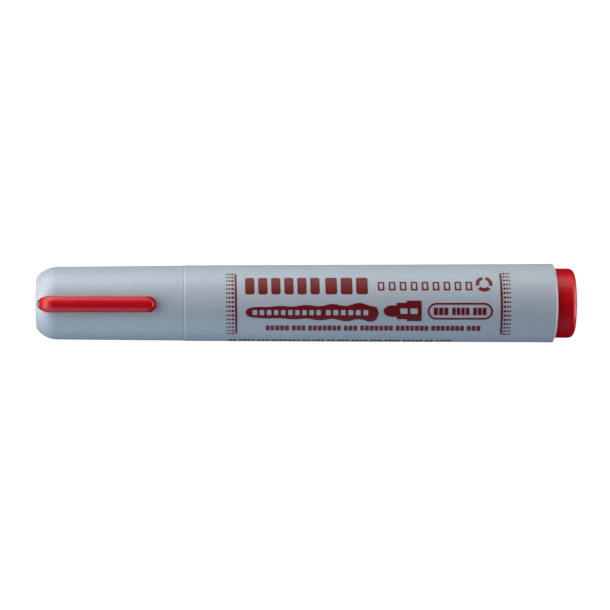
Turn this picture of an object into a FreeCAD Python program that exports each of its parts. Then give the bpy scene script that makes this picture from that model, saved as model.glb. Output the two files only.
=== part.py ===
import FreeCAD, Part
import math
import os
import Sketcher

# Whiteboard marker: a capped dry-wipe pen with a sprung pocket clip and an end plug.
#
# The pen lies along X, with its cap at -X, its end plug at +X and its clip on top at +Z.
# The origin is under the middle of the pen, on the surface that the pen lies on, and
# axis_height lifts the centre line of every piece to its place above it. Each piece is
# drawn about that centre line, so a sketch reads (distance along X, distance from the line).
#
# On the bench it comes apart into:
#   cap      cap_shell, inner_cap and the clip that is snapped into the crown
#   barrel   barrel, nose_cone, nib, reservoir_core and reservoir_film
#   rear     end_plug

DIMENSIONS = [
    # word, millimetres, meaning
    ("axis_height", 9.1, "centre line above the surface, the barrel's largest radius"),
    ("cap_front", -62.0, "crown face of the cap"),
    ("crown_wall", 1.6, "thickness of the crown"),
    ("crown_radius", 5.97, "where the shoulder's curve meets the crown face"),
    ("crown_edge", 0.7, "rounding of the crown's edge"),
    ("shoulder_x", -57.2, "where the shoulder's curve meets the cap's wall"),
    ("shoulder_radius", 8.37, "outside of the cap at the shoulder"),
    ("shoulder_curve", 6.0, "radius of the shoulder's curve"),
    ("mouth_x", -28.17, "mouth of the cap"),
    ("mouth_radius", 8.64, "outside of the cap at its mouth"),
    ("mouth_bore", 7.5, "inside of the cap at its mouth"),
    ("seam_edge", 0.22, "rounding of the two edges that meet at the seam"),
    ("chamber_radius", 6.8, "chamber in the crown that holds the clip's bar"),
    ("chamber_corner", 0.4, "bevel of the chamber's front corner, which keeps the shoulder's wall even"),
    ("liner_seat", -58.3, "step in the cap that the inner cap is pushed against"),
    ("seat_radius", 7.1, "bore that grips the inner cap"),
    ("seat_end", -54.0, "end of that bore"),
    ("guide_end", -38.0, "end of the long tapered part of the cap's bore"),
    ("guide_bore", 7.25, "bore there"),
    ("skirt_bore", 7.45, "wider bore around the barrel's neck"),
    ("snap_x", -30.7, "middle of the bead inside the cap's skirt"),
    ("snap_bore", 7.3, "bore at that bead"),
    ("bead_slope", 0.6, "length of each side of a snap bead"),
    ("bead_flat", 0.3, "half the flat on top of a snap bead"),
    ("slot_left", -61.55, "front end of the clip's slot in the crown"),
    ("slot_right", -56.9, "rear end of the clip's slot"),
    ("slot_width", 3.85, "width of the clip's slot"),
    ("slot_floor", 6.2, "height of the slot's floor above the centre line"),
    ("slot_depth", 3.0, "more than the cap's wall above that floor"),
    ("liner_wall", 1.3, "closed end of the inner cap"),
    ("liner_outside", 6.0, "outside of the inner cap"),
    ("liner_bore", 5.2, "inside of the inner cap, clear of the nose"),
    ("liner_mouth", -41.0, "mouth of the inner cap"),
    ("seal_end", -46.0, "inner end of the sealing band"),
    ("seal_bore", 5.03, "sealing band, a running fit on the nose tube"),
    ("liner_rim", 2.3, "length of the rim that the cap's bore grips"),
    ("fin_end", -46.5, "end of the inner cap's fins"),
    ("fin_width", 0.9, "thickness of fins and ribs"),
    ("clip_tip", -34.35, "free end of the clip"),
    ("clip_front", -61.05, "front of the clip's curved head"),
    ("clip_width", 3.65, "width of the clip"),
    ("clip_top", 10.4, "top of the clip at its tip"),
    ("clip_drop", 0.2, "how much lower the clip's top is at its head"),
    ("head_curve", 3.5, "radius of the clip's curved head"),
    ("clip_under", 9.02, "underside of the clip"),
    ("pad_under", 8.66, "underside of the pad below the tip"),
    ("pivot_x", -59.4, "axis of the clip's bar"),
    ("pivot_height", 5.4, "height of that axis above the centre line"),
    ("pivot_radius", 0.8, "radius of the clip's bar, half the thickness of its foot"),
    ("pivot_length", 4.6, "length of the clip's bar"),
    ("neck_front", -37.0, "front of the barrel's neck"),
    ("neck_radius", 7.15, "outside of the neck, inside the cap's skirt"),
    ("neck_bore", 5.9, "inside of the neck, which grips the nose cone"),
    ("neck_bead_x", -33.1, "middle of the bead on the neck"),
    ("neck_bead", 7.28, "radius of that bead"),
    ("barrel_front", -28.11, "shoulder of the barrel"),
    ("barrel_radius", 8.71, "outside of the barrel at its shoulder"),
    ("barrel_bore", 7.45, "inside of the barrel behind its shoulder"),
    ("barrel_end", 57.5, "rear lip of the barrel"),
    ("lip_radius", 8.22, "outside of the rear lip"),
    ("lip_chamfer", 0.5, "length of the chamfer before the lip"),
    ("flare_length", 3.5, "length of the slight flare before the chamfer"),
    ("flare_radius", 9.06, "outside of the barrel where the flare starts"),
    ("plug_seat", 48.5, "step that stops the end plug"),
    ("rear_bore", 7.8, "inside of the barrel before that step"),
    ("plug_bore", 8.05, "inside of the barrel around the end plug"),
    ("rib_front", -24.0, "front of the barrel's ribs"),
    ("rib_rear", 46.0, "rear of the barrel's ribs"),
    ("rib_radius", 6.5, "inner edge of the barrel's ribs"),
    ("rib_root", 8.1, "depth to which the ribs run into the wall"),
    ("nose_tip", -50.0, "front of the nose cone"),
    ("nose_tip_radius", 3.6, "outside of the nose cone at its tip"),
    ("nose_taper", -47.0, "where the nose cone starts to taper"),
    ("nose_radius", 5.0, "outside of the nose tube"),
    ("nose_bore", 2.95, "inside of the nose tube, with air grooves round the nib"),
    ("flange_radius", 6.9, "flange of the nose cone, on the neck's front"),
    ("flange_wall", 1.2, "thickness of that flange"),
    ("sleeve_end", -28.7, "rear of the nose cone's sleeve"),
    ("sleeve_bore", 4.9, "inside of that sleeve"),
    ("nib_tip", -55.5, "point of the nib"),
    ("nib_radius", 2.5, "radius of the nib"),
    ("nib_bullet", 2.9, "length of the nib's tapered point"),
    ("nib_point", 1.3, "radius of the nib at its very tip, before rounding"),
    ("nib_point_edge", 1.0, "rounding of the tip"),
    ("nib_edge", 2.0, "rounding where the nib's point meets its side"),
    ("nib_rear", -16.0, "rear of the nib, inside the reservoir"),
    ("core_front", -24.5, "front of the ink reservoir"),
    ("core_rear", 47.5, "rear of the ink reservoir"),
    ("core_radius", 6.25, "radius of the reservoir's fibre core"),
    ("film_radius", 6.4, "outside of the film round the core"),
    ("plug_front", 48.55, "inner end of the end plug"),
    ("plug_radius", 7.97, "outside of the end plug"),
    ("plug_wall", 1.4, "end wall of the end plug"),
    ("plug_cavity", 6.7, "inside of the end plug"),
    ("plug_end", 62.0, "outer face of the end plug"),
    ("plug_corner", 1.4, "rounding of the end plug's outer edge"),
    ("plug_bead", 8.03, "sealing beads on the end plug"),
    ("prong_front", 47.6, "tip of the end plug's prongs, against the reservoir"),
    ("prong_inner", 2.4, "inner edge of the prongs"),
]

doc = FreeCAD.newDocument("whiteboard_marker")
sheet = doc.addObject("Spreadsheet::Sheet", "Dimensions")
for row, (word, size, meaning) in enumerate(DIMENSIONS, start=1):
    sheet.set("A%d" % row, word)
    sheet.set("B%d" % row, str(size))
    sheet.set("C%d" % row, meaning)
    sheet.setAlias("B%d" % row, word)
doc.recompute()

TINY = 1e-6


# ---------------------------------------------------------------- formulas of sheet words

def amount(formula):
    """Adds up a formula of sheet words and numbers, such as 'cap_front + crown_wall'."""
    total = 0.0
    sign = 1
    for word in formula.split():
        if word in ("+", "-"):
            sign = 1 if word == "+" else -1
        else:
            total += sign * (sheet.get(word) if word[0].isalpha() else float(word))
            sign = 1
    return total


def bound(formula):
    """The same formula as an expression that reads the sheet."""
    words = formula.split()
    return " ".join("Dimensions." + word if word[0].isalpha() else word for word in words)


# ---------------------------------------------------------------- sketches

def new_body(name):
    """A piece with its centre line lifted to its height above the surface."""
    body = doc.addObject("PartDesign::Body", name)
    body.Label = name
    body.Placement = FreeCAD.Placement(FreeCAD.Vector(0, 0, amount("axis_height")), FreeCAD.Rotation())
    body.setExpression("Placement.Base.z", bound("axis_height"))
    return body


def origin_feature(body, role):
    """The plane or axis of the body's own origin that has this role."""
    return next(feature for feature in body.Origin.OriginFeatures if feature.Role == role)


def new_sketch(body, name, role, offset=None):
    """An empty sketch on one of the body's planes, moved along its normal by the offset."""
    sketch = body.newObject("Sketcher::SketchObject", name)
    sketch.AttachmentSupport = [(origin_feature(body, role), "")]
    sketch.MapMode = "FlatFace"
    if offset:
        sketch.AttachmentOffset.Base = FreeCAD.Vector(0, 0, amount(offset))
        sketch.setExpression("AttachmentOffset.Base.z", bound(offset))
    return sketch


def size_constraint(sketch, kind, where, formula):
    """Adds a size to the sketch and binds it to the sheet."""
    number = sketch.addConstraint(Sketcher.Constraint(kind, *where, amount(formula)))
    sketch.setExpression("Constraints[%d]" % number, bound(formula))


def place_point(sketch, side, end, across, up):
    """Fixes a point of the sketch at (across, up), on an axis where a value is nought."""
    for kind, formula, axis in (("DistanceX", across, -2), ("DistanceY", up, -1)):
        if abs(amount(formula)) < TINY:
            sketch.addConstraint(Sketcher.Constraint("PointOnObject", side, end, axis))
        else:
            size_constraint(sketch, kind, (-1, 1, side, end), formula)


def bulge(start, end, radius):
    """The arc from start to end that bows to the right of the way between them."""
    chord = end - start
    half = chord.Length / 2
    rise = radius - math.sqrt(radius ** 2 - half ** 2)
    outward = FreeCAD.Vector(chord.y, -chord.x, 0).normalize()
    return Part.Arc(start, (start + end) / 2 + outward * rise, end)


def outline(sketch, corners, rounds=None):
    """Closed outline through the corners, counter-clockwise. The side that starts at a
    corner named in rounds is an arc of that radius, bowed outwards."""
    rounds = rounds or {}
    spots = [FreeCAD.Vector(amount(across), amount(up), 0) for across, up in corners]
    count = len(spots)
    for side, spot in enumerate(spots):
        following = spots[(side + 1) % count]
        if side in rounds:
            sketch.addGeometry(bulge(spot, following, amount(rounds[side])))
        else:
            sketch.addGeometry(Part.LineSegment(spot, following))
    for side in range(count):
        sketch.addConstraint(Sketcher.Constraint("Coincident", side, 2, (side + 1) % count, 1))
        place_point(sketch, side, 1, *corners[side])
    for side, radius in rounds.items():
        size_constraint(sketch, "Radius", (side,), radius)


def circle(sketch, across, up, radius):
    """A circle with its centre and radius bound to the sheet."""
    centre = FreeCAD.Vector(amount(across), amount(up), 0)
    side = sketch.addGeometry(Part.Circle(centre, FreeCAD.Vector(0, 0, 1), amount(radius)))
    place_point(sketch, side, 3, across, up)
    size_constraint(sketch, "Radius", (side,), radius)


def stadium(sketch, left, right, width):
    """A slot along X with round ends, from left to right, centred on the X axis."""
    half = amount(width) / 2
    left_spot = FreeCAD.Vector(amount(left) + half, 0, 0)
    right_spot = FreeCAD.Vector(amount(right) - half, 0, 0)
    across = FreeCAD.Vector(0, half, 0)
    along = FreeCAD.Vector(half, 0, 0)
    lower = sketch.addGeometry(Part.LineSegment(left_spot - across, right_spot - across))
    front = sketch.addGeometry(Part.Arc(right_spot - across, right_spot + along, right_spot + across))
    upper = sketch.addGeometry(Part.LineSegment(right_spot + across, left_spot + across))
    back = sketch.addGeometry(Part.Arc(left_spot + across, left_spot - along, left_spot - across))
    sides = [lower, front, upper, back]
    for side, following in zip(sides, sides[1:] + sides[:1]):
        sketch.addConstraint(Sketcher.Constraint("Tangent", side, 2, following, 1))
    for arc, end, sign in ((back, left, "+"), (front, right, "-")):
        sketch.addConstraint(Sketcher.Constraint("PointOnObject", arc, 3, -1))
        number = sketch.addConstraint(Sketcher.Constraint("DistanceX", -1, 1, arc, 3,
                                                          amount(end) + float(sign + "1") * half))
        sketch.setExpression("Constraints[%d]" % number, bound(end) + sign + bound(width) + " / 2")
    number = sketch.addConstraint(Sketcher.Constraint("Radius", back, half))
    sketch.setExpression("Constraints[%d]" % number, bound(width) + " / 2")


# ---------------------------------------------------------------- features

def turned(body, corners, rounds=None):
    """Revolves an outline, given as (along X, radius), round the pen's centre line."""
    sketch = new_sketch(body, body.Name + "_outline", "XY_Plane")
    outline(sketch, corners, rounds)
    turning = body.newObject("PartDesign::Revolution", body.Name + "_turned")
    turning.Profile = sketch
    turning.ReferenceAxis = (sketch, ["H_Axis"])
    turning.Angle = 360
    doc.recompute()
    return turning


def fins(body, name, count, x_front, x_rear, inner, outer):
    """Pads one fin along X, between two radii, and repeats it round the centre line."""
    sketch = new_sketch(body, name + "_section", "YZ_Plane", x_front)
    half = amount("fin_width") / 2
    spots = [FreeCAD.Vector(-half, amount(inner), 0), FreeCAD.Vector(half, amount(inner), 0),
             FreeCAD.Vector(half, amount(outer), 0), FreeCAD.Vector(-half, amount(outer), 0)]
    for side in range(4):
        sketch.addGeometry(Part.LineSegment(spots[side], spots[(side + 1) % 4]))
    for side in range(4):
        sketch.addConstraint(Sketcher.Constraint("Coincident", side, 2, (side + 1) % 4, 1))
    for side, direction in ((1, "Vertical"), (2, "Horizontal"), (3, "Vertical")):
        sketch.addConstraint(Sketcher.Constraint(direction, side))
    sketch.addConstraint(Sketcher.Constraint("Symmetric", 0, 1, 0, 2, -2))
    size_constraint(sketch, "DistanceX", (0, 1, 0, 2), "fin_width")
    size_constraint(sketch, "DistanceY", (-1, 1, 0, 1), inner)
    size_constraint(sketch, "DistanceY", (-1, 1, 2, 1), outer)
    fin = body.newObject("PartDesign::Pad", name)
    fin.Profile = sketch
    fin.Length = amount(x_rear) - amount(x_front)
    fin.setExpression("Length", "(" + bound(x_rear) + ") - (" + bound(x_front) + ")")
    pattern = body.newObject("PartDesign::PolarPattern", name + "_ring")
    pattern.Originals = [fin]
    pattern.Axis = (origin_feature(body, "X_Axis"), [""])
    pattern.Angle = 360
    pattern.Occurrences = count
    body.Tip = pattern
    doc.recompute()
    return pattern


def soften(body, base, name, radius, rings):
    """Rounds the circular edges that lie at the given (along X, radius) places."""
    names = []
    for along, size in rings:
        for number, edge in enumerate(base.Shape.Edges, start=1):
            round_edge = isinstance(edge.Curve, Part.Circle)
            if round_edge and abs(edge.Curve.Radius - amount(size)) < 0.001:
                if abs(edge.Curve.Center.x - amount(along)) < 0.001:
                    names.append("Edge%d" % number)
    if len(names) != len(rings):
        raise RuntimeError("%s: %d edges for %d rings" % (name, len(names), len(rings)))
    rounding = body.newObject("PartDesign::Fillet", name)
    rounding.Base = (base, names)
    rounding.Radius = amount(radius)
    rounding.setExpression("Radius", bound(radius))
    doc.recompute()
    return rounding


def volume_change(before, feature):
    """Stops the build if a feature left the solid as it was."""
    if abs(feature.Shape.Volume - before) < 0.05:
        raise RuntimeError(feature.Name + " changed nothing")


# ---------------------------------------------------------------- the cap

def build_cap_shell():
    """Outer cap: flat crown, rounded shoulder, wall that widens a little to its mouth.
    The skirt is bored wider round the barrel's neck and has a snap bead, and a slot
    through the shoulder leads the clip's foot into the chamber in the crown."""
    body = new_body("cap_shell")
    shell = turned(body, [
        ("cap_front", "0"),
        ("cap_front + crown_wall", "0"),
        ("cap_front + crown_wall", "chamber_radius - chamber_corner"),
        ("cap_front + crown_wall + chamber_corner", "chamber_radius"),
        ("liner_seat", "chamber_radius"),
        ("liner_seat", "seat_radius"),
        ("seat_end", "seat_radius"),
        ("guide_end", "guide_bore"),
        ("guide_end + bead_slope", "skirt_bore"),
        ("snap_x - bead_flat - bead_slope", "skirt_bore"),
        ("snap_x - bead_flat", "snap_bore"),
        ("snap_x + bead_flat", "snap_bore"),
        ("snap_x + bead_flat + bead_slope", "skirt_bore"),
        ("mouth_x", "mouth_bore"),
        ("mouth_x", "mouth_radius"),
        ("shoulder_x", "shoulder_radius"),
        ("cap_front", "crown_radius"),
    ], rounds={15: "shoulder_curve"})
    crown = soften(body, shell, "crown_rounding", "crown_edge", [("cap_front", "crown_radius")])
    skirt = soften(body, crown, "mouth_rounding", "seam_edge", [("mouth_x", "mouth_radius")])
    slot_sketch = new_sketch(body, "clip_slot_outline", "XY_Plane", "slot_floor")
    stadium(slot_sketch, "slot_left", "slot_right", "slot_width")
    slot = body.newObject("PartDesign::Pocket", "clip_slot")
    slot.Profile = slot_sketch
    slot.Length = amount("slot_depth")
    slot.setExpression("Length", bound("slot_depth"))
    slot.Reversed = True
    doc.recompute()
    volume_change(skirt.Shape.Volume, slot)
    return body


def build_inner_cap():
    """Sealing liner: a cup that is pushed into the crown, held by its rim and centred by
    four fins. The band at its mouth closes on the nose tube and keeps the nib wet."""
    body = new_body("inner_cap")
    turned(body, [
        ("liner_seat", "0"),
        ("liner_seat + liner_wall", "0"),
        ("liner_seat + liner_wall", "liner_bore"),
        ("seal_end - bead_slope", "liner_bore"),
        ("seal_end", "seal_bore"),
        ("liner_mouth - bead_slope", "seal_bore"),
        ("liner_mouth", "liner_bore + 0.2"),
        ("liner_mouth", "liner_outside"),
        ("liner_seat + liner_rim", "liner_outside"),
        ("liner_seat + liner_rim", "seat_radius"),
        ("liner_seat", "seat_radius"),
    ])
    fins(body, "liner_fin", 4, "liner_seat + liner_rim", "fin_end",
         "liner_outside - 0.3", "seat_radius - 0.03")
    return body


def build_clip():
    """Pocket clip: one arm with a curved head, a foot through the slot in the crown, a
    cross bar on the foot that it tips about, and a pad that presses on the cap."""
    body = new_body("clip")
    side = new_sketch(body, "clip_side", "XZ_Plane")
    outline(side, [
        ("pivot_x - pivot_radius", "pivot_height"),
        ("pivot_x + pivot_radius", "pivot_height"),
        ("pivot_x + pivot_radius", "clip_under - 1"),
        ("clip_front + head_curve", "clip_under - 0.15"),
        ("clip_tip - 3.1", "clip_under"),
        ("clip_tip - 2.5", "pad_under"),
        ("clip_tip - 1.1", "pad_under"),
        ("clip_tip", "clip_under + 0.1"),
        ("clip_tip", "clip_top"),
        ("clip_front + head_curve", "clip_top - clip_drop"),
        ("clip_front", "clip_top - clip_drop - head_curve"),
        ("clip_front", "slot_floor + 0.4"),
        ("pivot_x - pivot_radius", "slot_floor + 0.1"),
    ], rounds={9: "head_curve + 0.01"})
    arm = body.newObject("PartDesign::Pad", "clip_arm")
    arm.Profile = side
    arm.Midplane = True
    arm.Length = amount("clip_width")
    arm.setExpression("Length", bound("clip_width"))
    doc.recompute()

    # The arm is trimmed to round ends: the pocket takes away all that is outside them.
    trim_sketch = new_sketch(body, "clip_plan", "XY_Plane")
    stadium(trim_sketch, "clip_front", "clip_tip", "clip_width")
    reach = 6.0
    left = amount("clip_front") - reach
    right = amount("clip_tip") + reach
    frame = [(left, -reach), (right, -reach), (right, reach), (left, reach)]
    first = trim_sketch.GeometryCount
    for corner, (across, up) in enumerate(frame):
        following = frame[(corner + 1) % 4]
        trim_sketch.addGeometry(Part.LineSegment(FreeCAD.Vector(across, up, 0),
                                                 FreeCAD.Vector(following[0], following[1], 0)))
    for corner in range(4):
        trim_sketch.addConstraint(Sketcher.Constraint("Coincident", first + corner, 2,
                                                      first + (corner + 1) % 4, 1))
        trim_sketch.addConstraint(Sketcher.Constraint("Block", first + corner))
    trim = body.newObject("PartDesign::Pocket", "clip_ends")
    trim.Profile = trim_sketch
    trim.Type = "ThroughAll"
    trim.Reversed = True
    doc.recompute()
    volume_change(arm.Shape.Volume, trim)

    bar_sketch = new_sketch(body, "clip_bar_section", "XZ_Plane")
    circle(bar_sketch, "pivot_x", "pivot_height", "pivot_radius")
    bar = body.newObject("PartDesign::Pad", "clip_bar")
    bar.Profile = bar_sketch
    bar.Midplane = True
    bar.Length = amount("pivot_length")
    bar.setExpression("Length", bound("pivot_length"))
    doc.recompute()
    return body


# ---------------------------------------------------------------- the barrel and its contents

def build_barrel():
    """Barrel: a neck with a snap bead, a shoulder that meets the cap, a long wall that
    widens a little to its chamfered rear lip, and six ribs that hold the reservoir."""
    body = new_body("barrel")
    wall = turned(body, [
        ("neck_front", "neck_bore"),
        ("barrel_front - 0.5", "neck_bore"),
        ("barrel_front + 1.5", "barrel_bore"),
        ("plug_seat", "rear_bore"),
        ("plug_seat", "plug_bore"),
        ("barrel_end", "plug_bore"),
        ("barrel_end", "lip_radius"),
        ("barrel_end - lip_chamfer", "axis_height"),
        ("barrel_end - lip_chamfer - flare_length", "flare_radius"),
        ("barrel_front", "barrel_radius"),
        ("barrel_front", "neck_radius"),
        ("neck_bead_x + bead_flat + bead_slope", "neck_radius"),
        ("neck_bead_x + bead_flat", "neck_bead"),
        ("neck_bead_x - bead_flat", "neck_bead"),
        ("neck_bead_x - bead_flat - bead_slope", "neck_radius"),
        ("neck_front + 0.4", "neck_radius"),
        ("neck_front", "neck_radius - 0.3"),
    ])
    soften(body, wall, "shoulder_rounding", "seam_edge", [("barrel_front", "barrel_radius")])
    fins(body, "barrel_rib", 6, "rib_front", "rib_rear", "rib_radius", "rib_root")
    return body


def build_nose_cone():
    """Nose: a tapered tube in front, a flange on the neck, and a sleeve pressed into it.
    Six ribs inside the tube grip the nib and leave air grooves between them."""
    body = new_body("nose_cone")
    turned(body, [
        ("nose_tip", "nose_bore"),
        ("neck_front + 0.5", "nose_bore"),
        ("neck_front + 2", "sleeve_bore"),
        ("sleeve_end", "sleeve_bore"),
        ("sleeve_end", "neck_bore"),
        ("neck_front", "neck_bore"),
        ("neck_front", "flange_radius"),
        ("neck_front - flange_wall", "flange_radius"),
        ("neck_front - flange_wall", "nose_radius"),
        ("nose_taper", "nose_radius"),
        ("nose_tip", "nose_tip_radius"),
    ])
    fins(body, "nib_rib", 6, "nose_tip + 0.5", "neck_front", "nib_radius", "nose_bore + 0.4")
    return body


def build_nib():
    """Bullet nib: a stiff fibre rod, rounded in front and tapered where it enters the core."""
    body = new_body("nib")
    rod = turned(body, [
        ("nib_tip", "0"),
        ("nib_rear", "0"),
        ("nib_rear", "nib_radius - 1.1"),
        ("nib_rear - 2", "nib_radius"),
        ("nib_tip + nib_bullet", "nib_radius"),
        ("nib_tip", "nib_point"),
    ])
    point = soften(body, rod, "point_rounding", "nib_point_edge", [("nib_tip", "nib_point")])
    soften(body, point, "bullet_rounding", "nib_edge", [("nib_tip + nib_bullet", "nib_radius")])
    return body


def build_reservoir_core():
    """Fibre core that holds the ink, with a pocket in front for the nib's rear end."""
    body = new_body("reservoir_core")
    turned(body, [
        ("nib_rear", "0"),
        ("core_rear", "0"),
        ("core_rear", "core_radius"),
        ("core_front", "core_radius"),
        ("core_front", "nib_radius"),
        ("nib_rear", "nib_radius"),
    ])
    return body


def build_reservoir_film():
    """Thin film tube round the core."""
    body = new_body("reservoir_film")
    turned(body, [
        ("core_front", "core_radius"),
        ("core_rear", "core_radius"),
        ("core_rear", "film_radius"),
        ("core_front", "film_radius"),
    ])
    return body


def build_end_plug():
    """End plug: a hollow stopper pressed into the barrel, with two sealing beads, four
    prongs that keep the reservoir in place, and a rounded head that stands out."""
    body = new_body("end_plug")
    first_bead = "plug_front + 2.6"
    second_bead = "plug_front + 5.6"
    stopper = turned(body, [
        ("plug_front", "plug_cavity"),
        ("plug_end - plug_wall", "plug_cavity"),
        ("plug_end - plug_wall", "0"),
        ("plug_end", "0"),
        ("plug_end", "plug_radius"),
        (second_bead + " + bead_slope", "plug_radius"),
        (second_bead, "plug_bead"),
        (second_bead + " - bead_slope", "plug_radius"),
        (first_bead + " + bead_slope", "plug_radius"),
        (first_bead, "plug_bead"),
        (first_bead + " - bead_slope", "plug_radius"),
        ("plug_front + 0.6", "plug_radius"),
        ("plug_front", "plug_radius - 0.3"),
    ])
    soften(body, stopper, "plug_rounding", "plug_corner", [("plug_end", "plug_radius")])
    fins(body, "plug_prong", 4, "prong_front", "plug_end - plug_wall", "prong_inner", "plug_cavity + 0.4")
    return body


# ---------------------------------------------------------------- build, test and write

pieces = [
    build_cap_shell(),
    build_inner_cap(),
    build_clip(),
    build_barrel(),
    build_nose_cone(),
    build_nib(),
    build_reservoir_core(),
    build_reservoir_film(),
    build_end_plug(),
]
doc.recompute()

for item in doc.Objects:
    if "Invalid" in item.State or "Error" in item.State:
        raise RuntimeError("%s failed: %s" % (item.Name, item.State))
for piece in pieces:
    if piece.Shape.isNull() or not piece.Shape.isValid() or len(piece.Shape.Solids) != 1:
        raise RuntimeError(piece.Label + " is not one valid solid")

os.makedirs("parts", exist_ok=True)
for piece in pieces:
    piece.Shape.exportStep(os.path.join("parts", piece.Label + ".step"))
    box = piece.Shape.BoundBox
    print("%-15s volume %8.1f  x %7.2f..%7.2f  y %6.2f..%6.2f  z %6.2f..%6.2f"
          % (piece.Label, piece.Shape.Volume, box.XMin, box.XMax, box.YMin, box.YMax, box.ZMin, box.ZMax))
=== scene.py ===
# A whiteboard marker with its cap on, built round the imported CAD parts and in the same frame.
# Lengths are millimetres until they become mesh points, which are metres; the floor, the lights
# and the camera are placed in metres. x runs along the marker from the cap's crown to the end
# plug, radii start at its centre line, and angles round it start at the top and grow towards +y.

import math
import random

import bmesh
import bpy
from mathutils import Matrix, Vector, noise
from mathutils.geometry import tessellate_polygon


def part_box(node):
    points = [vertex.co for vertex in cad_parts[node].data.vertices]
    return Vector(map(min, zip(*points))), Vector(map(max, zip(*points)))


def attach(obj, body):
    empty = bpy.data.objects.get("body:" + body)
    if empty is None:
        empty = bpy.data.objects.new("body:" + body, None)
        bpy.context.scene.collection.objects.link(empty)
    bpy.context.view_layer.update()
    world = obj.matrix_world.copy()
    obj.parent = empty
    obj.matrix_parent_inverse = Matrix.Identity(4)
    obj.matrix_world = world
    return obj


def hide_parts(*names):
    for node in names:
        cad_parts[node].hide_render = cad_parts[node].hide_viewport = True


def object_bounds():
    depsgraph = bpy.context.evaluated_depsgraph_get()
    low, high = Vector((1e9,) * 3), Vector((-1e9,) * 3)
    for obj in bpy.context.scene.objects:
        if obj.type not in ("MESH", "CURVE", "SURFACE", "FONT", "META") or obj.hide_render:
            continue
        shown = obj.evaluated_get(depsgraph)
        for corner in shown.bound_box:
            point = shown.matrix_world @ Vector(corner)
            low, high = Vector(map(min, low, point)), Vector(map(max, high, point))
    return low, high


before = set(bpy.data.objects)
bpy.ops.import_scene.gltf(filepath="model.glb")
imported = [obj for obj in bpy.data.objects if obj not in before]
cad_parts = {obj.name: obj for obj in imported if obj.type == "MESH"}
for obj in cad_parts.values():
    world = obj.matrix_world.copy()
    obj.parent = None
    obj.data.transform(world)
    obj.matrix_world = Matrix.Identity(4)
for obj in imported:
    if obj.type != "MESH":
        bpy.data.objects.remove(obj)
size_at_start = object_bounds()

MM = 0.001
SEGMENTS = 192
FEWER_SEGMENTS = 120
SMOOTH_BELOW = math.radians(33)
WELD = 1e-7


# ---------------------------------------------------------------- places taken from the CAD model

def front(node):
    """Where a CAD node starts along the marker."""
    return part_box(node)[0].x / MM


def rear(node):
    """Where a CAD node ends along the marker."""
    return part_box(node)[1].x / MM


def outside(node):
    """Largest radius of a turned CAD node."""
    low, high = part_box(node)
    return (high.y - low.y) / 2 / MM


def middle_height(node):
    """Height of the middle of a CAD node."""
    low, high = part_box(node)
    return (high.z + low.z) / 2 / MM


AXIS = middle_height("barrel")
CROWN = front("cap_shell")
MOUTH = rear("cap_shell")
MOUTH_RADIUS = outside("cap_shell")
NECK = front("barrel")
SEAM = MOUTH + 0.02
LIP = rear("barrel")
WIDEST = outside("barrel")
PLUG_END = rear("end_plug")
PLUG_START = front("end_plug")
CLIP_FRONT = front("clip")
CLIP_TIP = rear("clip")

SHOULDER = CROWN + 4.8
SHOULDER_RADIUS = MOUTH_RADIUS - 0.27
SHOULDER_CURVE = 6.0
SEAM_RADIUS = 8.71
MOUTH_EDGE = 0.06
SEAM_BEVEL = 0.42
SEAM_DROP = 0.11
FLARE = LIP - 4.0
CHAMFER = LIP - 0.5
FLARE_RADIUS = WIDEST - 0.04

SLOT_FRONT = CROWN + 0.36
SLOT_REAR = CROWN + 5.1
CLIP_WIDTH = 3.65
HEAD_REACH = 2.25
SLOT_GAP = 0.035
SLOT_FLOOR = 6.2
SLOT_SILL = 6.45
SLOT_FLARE = 0.35

DIMPLE_DEPTH = 0.22
DIMPLE_BOTTOM = 0.8
DIMPLE_TOP = 1.05
NECK_BORE = 5.9


# ---------------------------------------------------------------- points and profiles

def around(x, radius, angle):
    """Mesh point at a radius and an angle round the centre line."""
    return Vector((x * MM, radius * math.sin(angle) * MM, (AXIS + radius * math.cos(angle)) * MM))


def above(x, y, height):
    """Mesh point at a height above the centre line."""
    return Vector((x * MM, y * MM, (AXIS + height) * MM))


def between(x, stations):
    """Value at x on the straight lines through stations of (x, value)."""
    if x <= stations[0][0]:
        return stations[0][1]
    for (x_before, before), (x_after, after) in zip(stations, stations[1:]):
        if x <= x_after:
            return before + (after - before) * (x - x_before) / (x_after - x_before)
    return stations[-1][1]


def corner_arc(before, corner, after, size):
    """Points of the arc of that radius which rounds a corner between two straight sides."""
    back = (before - corner).normalized()
    ahead = (after - corner).normalized()
    half = back.angle(ahead) / 2
    reach = size / math.tan(half)
    centre = corner + (back + ahead).normalized() * size / math.sin(half)
    start = corner + back * reach - centre
    finish = corner + ahead * reach - centre
    sweep = math.atan2(start.x * finish.y - start.y * finish.x, start.dot(finish))
    steps = max(3, math.ceil(abs(sweep) / math.radians(11)))
    turned = [Matrix.Rotation(sweep * step / steps, 2) @ start for step in range(steps + 1)]
    return [centre + spoke for spoke in turned]


def rounded(corners):
    """Closed profile through corners of (x, radius, rounding)."""
    points = []
    spots = [Vector(corner[:2]) for corner in corners]
    for number, corner in enumerate(corners):
        size = corner[2]
        if size == 0:
            points.append(spots[number])
        else:
            following = spots[(number + 1) % len(spots)]
            points += corner_arc(spots[number - 1], spots[number], following, size)
    return [(point.x, point.y) for point in points]


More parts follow.
